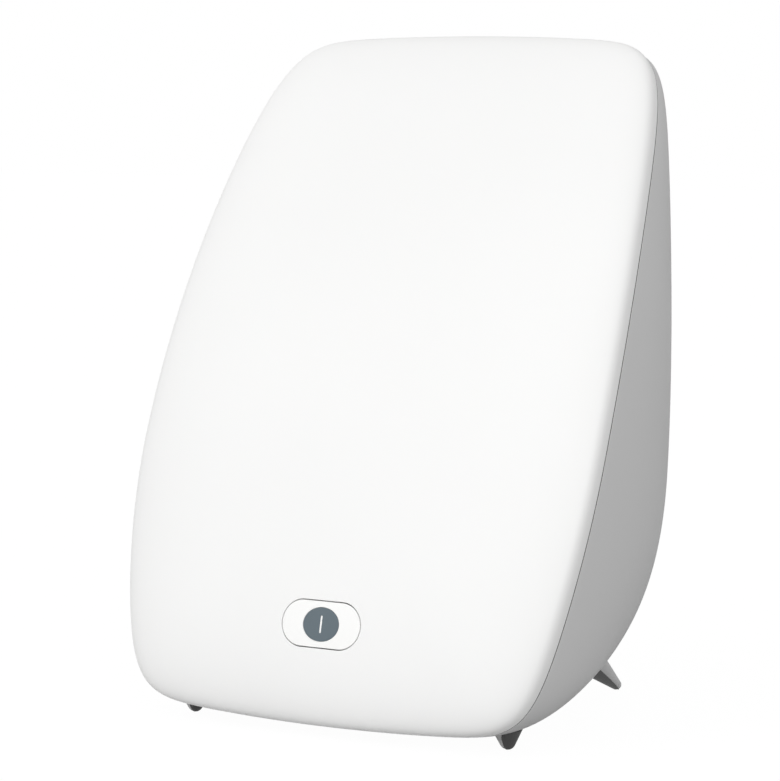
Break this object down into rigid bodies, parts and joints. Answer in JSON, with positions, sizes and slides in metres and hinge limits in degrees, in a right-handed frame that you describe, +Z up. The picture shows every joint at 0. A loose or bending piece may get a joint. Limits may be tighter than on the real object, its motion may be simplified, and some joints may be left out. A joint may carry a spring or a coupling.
{
  "type": "light therapy lamp",
  "caption": "Tall light therapy lamp with a curved translucent front, a deep rear housing, short feet and a pill-shaped on/off key.",
  "frame": {"origin": "middle of the footprint, on the floor", "axes": "+X across the lamp to the right seen from the front, +Y towards its back, +Z up"},
  "size_m": [0.2864, 0.2102, 0.3782],
  "materials": {
    "diffuser": "translucent white, soft gloss",
    "housing": "light grey, fine satin",
    "key": "white, soft gloss",
    "disc": "slate grey, satin",
    "switch": "black",
    "inner_plastic": "white",
    "chassis": "white powder coat",
    "reflector": "bright white",
    "lamp_glass": "frosted white",
    "lamp_base": "white",
    "contacts": "bright",
    "ballast_case": "zinc plated",
    "board": "green",
    "coils": "yellow tape",
    "capacitors": "dark blue sleeves",
    "terminal": "off white",
    "screws": "plain",
    "inlet": "black",
    "mains_lead": "black",
    "leads": "white",
    "feet": "light grey",
    "pads": "dark grey"
  },
  "bodies": {
    "lamp": {"front_cover": "diffuser", "rear_housing": "housing", "switch_body": "switch", "switch_carrier": "inner_plastic", "chassis_plate": "chassis", "reflector": "reflector", "lamp_left": "lamp_glass", "lamp_right": "lamp_glass", "lamp_base_left": "lamp_base", "lamp_base_right": "lamp_base", "lampholder_left": "inner_plastic", "lampholder_right": "inner_plastic", "lamp_clip_left": "inner_plastic", "lamp_clip_right": "inner_plastic", "lamp_contact_pins": "contacts", "ballast_tray": "ballast_case", "ballast_lid": "ballast_case", "ballast_board": "board", "ballast_coils": "coils", "ballast_capacitors": "capacitors", "ballast_screws": "screws", "terminal_block": "terminal", "terminal_screws": "screws", "power_inlet": "inlet", "inlet_contacts": "contacts", "mains_lead": "mains_lead", "switch_lead": "leads", "lamp_lead_left": "leads", "lamp_lead_right": "leads", "foot_front_left": "feet", "foot_front_right": "feet", "foot_rear_left": "feet", "foot_rear_right": "feet", "pad_front_left": "pads", "pad_front_right": "pads", "pad_rear_left": "pads", "pad_rear_right": "pads", "foot_screws": "screws", "cover_screws": "screws", "carrier_screws": "screws", "chassis_screws": "screws"},
    "key": {"power_key": "key", "key_disc": "disc", "switch_plunger": "switch"}
  },
  "joints": [
    {"name": "key_press", "type": "slide", "parent": "lamp", "child": "key", "axis": [0, 0.9589, -0.2838], "range_m": [0, 0.0015], "stiffness_N_per_m": 600, "springref_m": -0.0015}
  ]
}
